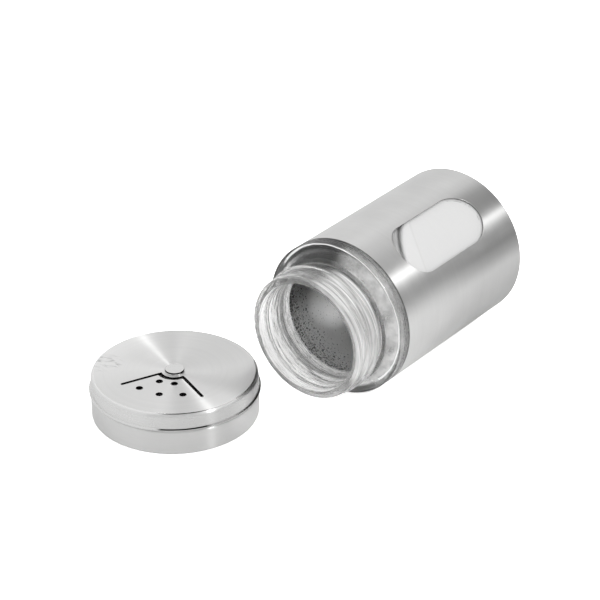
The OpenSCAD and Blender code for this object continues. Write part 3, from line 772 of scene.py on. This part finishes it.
def glass_profile():
    """The glass from the axis under its floor, out and forward round the mouth, and back inside."""
    punt_z, floor_z = GLASS_END - PUNT_DEPTH, GLASS_END - GLASS_FLOOR
    punt_r = GLASS_R - GLASS_CORNER - 2 * PUNT_DEPTH
    front_edge, middle_r = 0.4, 10
    lip_end = -MOUTH_FRONT + LIP_LENGTH
    neck_low, neck_high, neck_rows = -NECK_ROOT - NECK_FILLET, lip_end + (LIP_R - NECK_R), 46
    shoulder_r = GLASS_BORE_R - MOUTH_R - THROAT_RADIUS
    lip_z = LIP_RADIUS - MOUTH_FRONT
    neck_step, line_steps = (neck_high - neck_low) / neck_rows, 40
    bead = []
    for i in range(1, line_steps):
        along = BEAD_LINES_FROM + (BEAD_LINES_TO - BEAD_LINES_FROM) * i / line_steps
        wave = 1 - math.cos(TAU * (along - BEAD_LINES_FROM) / BEAD_LINE_STEP)
        bead.append((SLEEVE_R - BEAD_LINE_DEPTH * wave / 2, -along))
    return [
        (0, punt_z), (middle_r, punt_z), (punt_r - 0.6, punt_z), (punt_r + 0.5, punt_z + 0.12),
        (punt_r + 1.8, GLASS_END - 0.14),
        *arc((GLASS_R - GLASS_CORNER, GLASS_END - GLASS_CORNER), GLASS_CORNER, 90, 0, 12),
        *[(GLASS_R, GLASS_END - 8 - 8 * i) for i in range(8)],
        (GLASS_R, 0.5), (GLASS_R, 0.02), (GLASS_R + 0.02, 0), (SLEEVE_R - front_edge, 0),
        *arc((SLEEVE_R - front_edge, -front_edge), front_edge, 90, 0, 5)[1:], *bead,
        *arc((SLEEVE_R - BEAD_RADIUS, BEAD_RADIUS - BEAD_LENGTH), BEAD_RADIUS, 0, -90, 12),
        *SHOULDER, *arc((NECK_R + NECK_FILLET, neck_low), NECK_FILLET, 90, 180, 8),
        *[(NECK_R, neck_low + neck_step * i) for i in range(1, neck_rows)],
        (NECK_R, neck_high), (NECK_R + 0.25, neck_high - 0.35), (LIP_R - 0.2, lip_end + 0.1),
        (LIP_R, lip_end - 0.5),
        *arc((LIP_R - LIP_RADIUS, lip_z), LIP_RADIUS, 0, -90, 10),
        *arc((MOUTH_R + LIP_RADIUS, lip_z), LIP_RADIUS, -90, -180, 10),
        *[(MOUTH_R, along) for along in (-20, -16, -12, -8)],
        *arc((MOUTH_R + THROAT_RADIUS, THROAT_Z - THROAT_RADIUS), THROAT_RADIUS, 180, 90, 8),
        *arc((GLASS_BORE_R - shoulder_r, THROAT_Z + shoulder_r), shoulder_r, -90, 0, 14)[1:],
        *[(GLASS_BORE_R, 8 * i) for i in range(1, 8)],
        *arc((GLASS_BORE_R - GLASS_CORNER, floor_z - GLASS_CORNER), GLASS_CORNER, 0, 90, 10),
        (middle_r, floor_z), (0, floor_z)]


def make_glass():
    threaded_from, threaded_to = -NECK_ROOT - NECK_FILLET, -MOUTH_FRONT + LIP_LENGTH - 0.6

    def place(r, turn, along):
        if NECK_R - 0.01 < r < LIP_R + 0.01 and threaded_to <= along <= threaded_from:
            r = max(r, NECK_R + ridge(turn, along))
        return on_jar(r, turn, along)

    bm = bmesh.new()
    lathe(bm, place, glass_profile(), 240)
    finish_mesh("glass_body", bm, glass, "jar", ["glass_jar"], sharp=50)


# ---- the steel sleeve
def make_sleeve():
    """The sleeve, as columns of vertices from its front to its rear."""
    bm = bmesh.new()
    half = WINDOW_WIDTH / 2
    middle, side = math.radians(WINDOW_TURN), math.asin(half / SLEEVE_R)
    inner_r, lip_inner = SLEEVE_R - SLEEVE_WALL, SLEEVE_R - EDGE_R - BASE_LIP
    rim, broken, lip_broken = 0.05, 0.12, 0.15
    rear_last = SLEEVE_LENGTH - EDGE_R
    window_steps, rest_steps = 56, 200
    fractions = [0.0, 0.04, 0.2, 0.4, 0.6, 0.8, 0.96, 1.0]
    # each column's turn from the window's middle, how far the window's ends are inset there, and
    # whether it meets the window
    columns = []
    for i in range(window_steps + 1):
        t = -math.pi / 2 + math.pi * i / window_steps
        columns.append((math.asin(half * math.sin(t) / SLEEVE_R), half * (1 - math.cos(t)), True))
    for i in range(1, rest_steps):
        columns.append((side + (TAU - 2 * side) * i / rest_steps, half, False))
    edge = arc((SLEEVE_R - EDGE_R, rear_last), EDGE_R, 0, 90, 10)
    edge += [(lip_inner + lip_broken, SLEEVE_LENGTH), (lip_inner, SLEEVE_LENGTH - lip_broken)]
    edge += [(lip_inner, SLEEVE_LENGTH - SLEEVE_WALL)]
    edge += arc((inner_r - EDGE_R + SLEEVE_WALL, rear_last), EDGE_R - SLEEVE_WALL, 90, 0, 6)

    def column(angle, inset, windowed):
        """Rows of vertices that meet the next column's: the main ones, those between the sleeve's
        front and rear parts away from the window, and those of the window's edge."""
        front_end, rear_start = WINDOW_START + inset, WINDOW_START + WINDOW_LENGTH - inset

        def at(r, along):
            turn = angle
            if windowed and r < SLEEVE_R:
                # the window is cut straight through
                turn = math.asin(SLEEVE_R * math.sin(angle) / r)
            return bm.verts.new(on_jar(r, middle + turn, along))

        def row(r, start, end, shares):
            return [at(r, start + (end - start) * f) for f in shares]

        front_out = row(SLEEVE_R, rim + broken, front_end - broken, fractions)
        front_in = row(inner_r, rim, front_end, fractions)
        rear_out = row(SLEEVE_R, rear_start + broken, rear_last, fractions[:-1])
        rear_in = row(inner_r, rear_start, rear_last, fractions[:-1])
        front_edge = [front_in[0], at(SLEEVE_R - broken, rim), front_out[0]]
        closing = [[front_out[-1], rear_out[0]], [front_in[-1], rear_in[0]]]
        cut = []
        if windowed:
            lips = [at(SLEEVE_R - broken * 0.7, along) for along in (front_end, rear_start)]
            cut = [[front_out[-1], lips[0], front_in[-1]], [rear_in[0], lips[1], rear_out[0]]]
        end = [at(r, h) for r, h in edge]
        main = [front_out, front_in, rear_out + end[:1], rear_in + end[-1:], end, front_edge]
        return main, closing, cut

    made = [column(*entry) for entry in columns]
    for i, (main, closing, cut) in enumerate(made):
        next_main, next_closing, next_cut = made[(i + 1) % len(made)]
        rows, next_rows = main + closing, next_main + next_closing
        if i < window_steps:
            rows, next_rows = main + cut, next_main + next_cut
        for a, b in zip(rows, next_rows):
            for k in range(len(a) - 1):
                bm.faces.new([a[k], a[k + 1], b[k + 1], b[k]])
    for _, _, (front, rear) in (made[0], made[window_steps]):
        bm.faces.new([front[0], rear[2], rear[1], front[1]])
        bm.faces.new([front[1], rear[1], rear[0], front[2]])
    finish_mesh("sleeve_tube", bm, sleeve_steel, "jar", ["steel_sleeve"])


def make_base():
    bead, steps, broken = 2 * PLATE_RING_HEIGHT, 12, 0.1
    back = PLATE_Z + PLATE_THICKNESS
    pressed = []
    for i in range(steps + 1):
        u = 1 - 2 * i / steps
        height = PLATE_RING_HEIGHT * math.cos(u * math.pi / 2) ** 2
        pressed.append((PLATE_RING_R + bead * u, back + height))
    profile = [
        (0, PLATE_Z), (PLATE_R - broken, PLATE_Z), (PLATE_R, PLATE_Z + broken),
        (PLATE_R, back - broken), (PLATE_R - broken, back), (PLATE_RING_R + bead + 0.6, back),
        *pressed, (PLATE_RING_R - bead - 0.6, back), (8, back), (0, back)]
    bm = bmesh.new()
    lathe(bm, on_jar, profile, 160)
    finish_mesh("base_disc", bm, base_steel, "jar", ["base_plate"])


def make_pad():
    bm = bmesh.new()
    profile = rounded_ring(PAD_BORE_R, PAD_R, GLASS_END + 0.01, PLATE_Z - 0.01)
    lathe(bm, on_jar, profile, 128, closed=True)
    finish_mesh("pad_ring", bm, pad_foam, "jar", ["base_pad"])


# ---- the cap
def fan_outlines():
    """Cut-outs of the dial: two straight slits joined by an arc slit, and five holes."""
    half_slit = SLIT_WIDTH / 2
    inner_arc, outer_arc = ARC_SLIT_R - ARC_SLIT_WIDTH / 2, ARC_SLIT_R + ARC_SLIT_WIDTH / 2
    edge_in, edge_out = SLIT_OFFSET - half_slit, SLIT_OFFSET + half_slit
    outer_corner = math.sqrt(outer_arc ** 2 - edge_out ** 2)

    def on_slit(side, along, offset):
        return turned([(along, side * offset)], side * FAN_HALF_ANGLE)[0]

    def slit_tip(side):
        tip = []
        for i in range(9):
            a = math.pi / 2 - math.pi * i / 8
            along = SLIT_END - half_slit + half_slit * math.cos(a)
            tip.append(on_slit(side, along, SLIT_OFFSET + half_slit * math.sin(a)))
        return tip

    start = math.radians(FAN_HALF_ANGLE) + math.asin(edge_out / ARC_SLIT_R)
    corner_turn = math.radians(FAN_HALF_ANGLE) + math.asin(edge_in / outer_arc)
    v_outline = [*sweep(inner_arc, -start, start, 24), on_slit(1, outer_corner * 0.93, edge_out),
                 *slit_tip(1), *sweep(outer_arc, corner_turn, -corner_turn, 20),
                 *slit_tip(-1)[::-1], on_slit(-1, outer_corner * 0.93, edge_out)]
    outlines = [turned(v_outline, FAN_TURN)]
    holes = [(OUTER_ROW, OUTER_STEP * place) for place in (-1, 0, 1)]
    holes += [(INNER_ROW, INNER_STEP * place) for place in (-0.5, 0.5)]
    for row, turn in holes:
        centre = turned([(row, 0)], FAN_TURN + turn)[0]
        outlines.append(circle_outline(centre, HOLE_D / 2, 32))
    return outlines


def drawn_cup(rim_r, segments, top, profile, cuts):
    """A cup of sheet with a pierced top and a wall turned from a profile."""
    bm = bmesh.new()
    upper, lower = pierced_plate(bm, rim_r, segments, top, top - CAP_SHEET, cuts)
    rings = lathe(bm, on_cap, profile, segments)
    bridge(bm, upper, rings[0])
    bridge(bm, rings[-1], lower)
    return bm


def make_dial():
    top_z, roll, roll_in = CAP_HEIGHT - DIAL_RADIUS, ROLL_HEIGHT / 2, DIAL_R - ROLL_WIDTH
    slope_from, slope_to = (DIAL_TOP_R, top_z), (DIAL_R + FACET_HIGH[0], HEM_Z + FACET_HIGH[1])
    inner_slope = slope_to[0] - CAP_SHEET
    roof = HEM_Z + CAP_SHEET
    profile = [
        *[(DIAL_FLAT_R + out, CAP_HEIGHT + up) for out, up in TOP_EDGE], slope_from,
        *[tuple(a + (b - a) * f for a, b in zip(slope_from, slope_to))
          for f in (0.05, 0.35, 0.65, 0.97, 1.0)],
        (DIAL_R + FACET_LOW[0], HEM_Z + FACET_LOW[1]),
        *arc((DIAL_R - roll, HEM_Z + roll), roll, 0, -90, 8),
        (roll_in + 0.12, HEM_Z), (roll_in, HEM_Z + 0.12), (roll_in, roof - 0.1),
        (roll_in + 0.1, roof), (inner_slope, roof), (inner_slope, slope_to[1]),
        *arc((DIAL_FLAT_R, top_z), DIAL_RADIUS - CAP_SHEET, 0, 90, 8)]
    cuts = fan_outlines() + [circle_outline((0, 0), RIVET_R + 0.08, 40)]
    bm = drawn_cup(DIAL_FLAT_R - 0.15, 256, CAP_HEIGHT, profile, cuts)
    finish_mesh("dial_plate", bm, dial_steel, "dial", ["shaker_dial"], sharp=24)


def make_shell():
    half = math.radians(FAN_HALF_ANGLE + OPENING_SPREAD)
    opening = sweep(ARC_SLIT_R - ARC_SLIT_WIDTH / 2 - 0.1, -half, half, 24)
    opening += sweep(MOUTH_R - 0.1, half, -half, 40)
    cuts = [turned(opening, FAN_TURN), circle_outline((0, 0), RIVET_R + RIVET_GAP, 40)]
    flat_r, corner_z = COLLAR_R - SHELL_RADIUS, SHELL_TOP - SHELL_RADIUS
    band_corner = (BAND_R - BAND_RADIUS, BAND_HEIGHT - BAND_RADIUS)
    hem_r, hem_inner = CAP_SHEET - RIM_FLAT / 2, BAND_R - 2 * CAP_SHEET
    profile = [
        *arc((flat_r, corner_z), SHELL_RADIUS, 90, 0, 8),
        (COLLAR_R, BAND_HEIGHT + 0.3), (COLLAR_R, BAND_HEIGHT),
        *arc(band_corner, BAND_RADIUS, 90, 0, 10),
        (BAND_R, band_corner[1] - 0.4), (BAND_R, 5), (BAND_R, 2), (BAND_R, hem_r + 0.3),
        *arc((BAND_R - hem_r, hem_r), hem_r, 0, -90, 6),
        *arc((hem_inner + hem_r, hem_r), hem_r, -90, -180, 6),
        (hem_inner, HEM_HEIGHT), (BAND_R - CAP_SHEET, HEM_HEIGHT),
        *arc(band_corner, BAND_RADIUS - CAP_SHEET, 0, 90, 6),
        (COLLAR_R - CAP_SHEET, BAND_HEIGHT - CAP_SHEET),
        *arc((flat_r, corner_z), SHELL_RADIUS - CAP_SHEET, 0, 90, 6)]
    bm = drawn_cup(flat_r - 0.15, 224, SHELL_TOP, profile, cuts)
    finish_mesh("shell_cup", bm, shell_steel, "cap", ["cap_shell"])


def make_rivet():
    head_low, head_top = CAP_HEIGHT + RIVET_GAP, CAP_HEIGHT + HEAD_HEIGHT
    step, broken = head_top - STEP_LOW, 0.05
    profile = [
        (0, TAIL_Z), (TAIL_R - 0.5, TAIL_Z), *arc((TAIL_R - 0.4, TAIL_Z + 0.4), 0.4, -90, 0, 5),
        (TAIL_R, TAIL_TOP), (RIVET_R, TAIL_TOP), (RIVET_R, head_low), (HEAD_R - broken, head_low),
        (HEAD_R, head_low + broken), (HEAD_R, step - 0.15), (STEP_R + broken, step),
        (STEP_R, step + 0.01), (STEP_R, head_top - STEP_EDGE), (STEP_R - STEP_EDGE, head_top),
        (1.0, head_top), (0, head_top)]
    bm = bmesh.new()
    lathe(bm, on_cap, profile, 96)
    finish_mesh("rivet_pin", bm, rivet_steel, "cap", ["pivot_rivet"])


def make_seal():
    bm = bmesh.new()
    profile = rounded_ring(MOUTH_R, SEAL_R, SEAL_FACE, SEAL_FACE + SEAL_THICKNESS - 0.01)
    lathe(bm, on_cap, profile, 128, closed=True)
    finish_mesh("seal_gasket", bm, seal_rubber, "cap", ["seal_ring"])


for make in (make_glass, make_sleeve, make_base, make_pad, make_dial, make_shell, make_rivet,
             make_seal):
    make()
for node, material in (("thread_ring", ring_plastic), ("spring_washer", spring_steel),
                       ("tail_washer", spring_steel)):
    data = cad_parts[node].data
    data.materials.clear()
    data.materials.append(material)

# ---- the floor
# brightness of the floor as the camera sees it, in the open and under the cap, where it is kept
# lower as painted shade
FLOOR_WHITE, COVERED_WHITE = 2.2, 1.35
# glow that the steel mirrors: to the left round GLOW_AT, to the right near the jar, at its rear and
# far off, and under the jar's front round UNDER_AT
FLOOR_GLOW, GLOW_CENTRE, GLOW_AT, GLOW_FROM, GLOW_REACH = 0.29, 0.6, (-75.0, 15.0), 15.0, 65.0
NEAR_GLOW, REAR_GLOW, FAR_REAR_GLOW, FAR_SHARE = 0.38, 0.11, 0.22, 0.1
UNDER_GLOW, UNDER_AT, UNDER_FROM, UNDER_REACH = 0.35, (14.0, -28.0), 8.0, 28.0


def make_floor():
    reach, drop = 6.0, 0.0001
    corners = [(-reach, -reach, 0), (reach, -reach, 0), (reach, reach, 0), (-reach, reach, 0)]
    floor_mesh = bpy.data.meshes.new("floor")
    floor_mesh.from_pydata(corners, [], [(0, 1, 2, 3)])
    floor = linked("floor", floor_mesh)
    floor.location.z = -drop
    material, t = new_material("floor_paper")
    floor_mesh.materials.append(material)
    x, y, _ = local_axes(t, (0, 0, 0))

    def away(from_x, from_y):
        return radial(x - from_x, y - from_y)

    paper = t.noise(t.value("ShaderNodeTexCoord", output="Object"), 40.0, 2.0)
    shader = t.add("ShaderNodeBsdfPrincipled", {
        "Base Color": t.scaled((0.8, 0.8, 0.8), t.mixed(paper, 0.99, 1.01)), "Roughness": 0.9,
        "Specular IOR Level": 0.1})
    right = t.rises(x, -20.0, 40.0, smooth=True) * t.rises(y, -40.0, 10.0, smooth=True)
    rear = t.ranged(x, 50.0, 110.0, REAR_GLOW, FAR_REAR_GLOW, smooth=True)
    near = t.falls(y - x * 0.6, -15.0, 45.0, smooth=True)
    beside = near * (NEAR_GLOW - rear) + rear
    beside = beside * t.ranged(x, 150.0, 450.0, 1.0, FAR_SHARE, smooth=True)
    left = t.ranged(away(*GLOW_AT), GLOW_FROM, GLOW_REACH, GLOW_CENTRE, FLOOR_GLOW, smooth=True)
    under = t.ranged(away(*UNDER_AT), UNDER_FROM, UNDER_REACH, UNDER_GLOW, 0.0, smooth=True)
    glow_level = right * beside + (1.0 - right) * left + under
    off_cap = away(CAP_X, CAP_Y) > BAND_R - 0.4
    white = t.mixed(off_cap, COVERED_WHITE, FLOOR_WHITE)
    bright = t.add("ShaderNodeBsdfDiffuse", {0: t.vector(white, white, white)})
    glow = t.add("ShaderNodeEmission", {
        0: (1, 1, 1, 1), 1: glow_level * (t.ray("Glossy") * off_cap)})
    plain = t.add("ShaderNodeAddShader", {0: shader, 1: glow})
    lit = t.add("ShaderNodeMixShader", {0: t.ray("Camera"), 1: plain, 2: bright})
    t.surface(lit)


make_floor()

# ---- light and camera
# radiance of the studio round the jar's length, at turns in degrees from straight up towards +X
STUDIO = [(-180, 0.95), (-95, 0.92), (-60, 0.95), (-25, 0.98), (-8, 0.97), (0, 0.94), (8, 0.72),
          (16, 0.6), (26, 0.53), (34, 0.55), (38, 0.88), (42, 1.7), (49, 1.7), (55, 0.82),
          (62, 0.52), (70, 0.42), (84, 0.41), (92, 0.85), (110, 0.95), (180, 0.95)]
STUDIO_TOP = 2.0
# how much darker the room overhead is when it is seen through the glass
ROOM_DARK = 0.38
# a dark patch overhead: its direction, and the angles about it between which it fades
DARK_AT, DARK_INNER, DARK_OUTER, DARK_LEVEL = (0.046, 0.063, 0.997), 13, 17, 0.04

CAMERA_AT = Vector((470.42, -608.36, 458.94)) * MM
CAMERA_LOOK = Vector((-0.5326, 0.6935, -0.4853))
KEY_FROM = Vector((0.73, 0.0, 0.68)).normalized()
FILL_FROM = Vector((-0.32, 0.173, 0.93)).normalized()
LAMP_TARGET, LAMP_DISTANCE = Vector((0.01, 0.0, 0.02)), 1.1


def make_world():
    world = bpy.data.worlds.new("studio")
    world.use_nodes = True
    bpy.context.scene.world = world
    t = Nodes(world.node_tree)
    at = t.value("ShaderNodeTexCoord", output="Generated")
    split = t.add("ShaderNodeSeparateXYZ", {0: at})
    height = Value(t, split.outputs[2])
    turn = t.math("ARCTAN2", Value(t, split.outputs[0]), height)
    ramp = t.add("ShaderNodeValToRGB", {0: t.rises(turn, -math.pi, math.pi)})
    stops = ramp.color_ramp.elements
    while len(stops) < len(STUDIO):
        stops.new(0.5)
    for stop, (degrees, level) in zip(stops, STUDIO):
        stop.position = (degrees + 180) / 360
        stop.color = (*[level / STUDIO_TOP] * 3, 1)
    towards = t.value("ShaderNodeVectorMath", {0: at, 1: DARK_AT}, "Value", operation="DOT_PRODUCT")
    outer, inner = math.cos(math.radians(DARK_OUTER)), math.cos(math.radians(DARK_INNER))
    patch = t.ranged(towards, outer, inner, 1.0, DARK_LEVEL, smooth=True)
    above = t.ranged(height, 0.0, 0.2, 0.0, ROOM_DARK, smooth=True) * t.ray("Transmission")
    strength = patch * (1.0 - above) * STUDIO_TOP
    studio = t.add("ShaderNodeBackground", {0: ramp, 1: strength})
    plain = t.add("ShaderNodeBackground", {0: (1, 1, 1, 1), 1: 1.0})
    both = t.add("ShaderNodeMixShader", {0: t.ray("Camera"), 1: studio, 2: plain})
    t.add("ShaderNodeOutputWorld", {0: both})


def place(name, data, location, look):
    """Links an object that looks in one direction."""
    obj = linked(name, data)
    obj.location = location
    obj.rotation_mode = "QUATERNION"
    obj.rotation_quaternion = look.to_track_quat("-Z", "Y")
    return obj


def lamp(name, towards, size, energy):
    """A round lamp that points at the object."""
    light = bpy.data.lights.new(name, "AREA")
    light.shape = "DISK"
    light.size = size
    light.energy = energy
    place(name, light, LAMP_TARGET + towards * LAMP_DISTANCE, -towards)


make_world()
lamp("key", KEY_FROM, 0.04, 2.1)
lamp("fill", FILL_FROM, 0.1, 0.12)

camera = bpy.data.cameras.new("camera")
camera.lens = 137.04
camera.sensor_width = 36.0
camera.clip_start, camera.clip_end = 0.05, 30.0
bpy.context.scene.camera = place("camera", camera, CAMERA_AT, CAMERA_LOOK)
bpy.context.scene.view_settings.view_transform = "Standard"
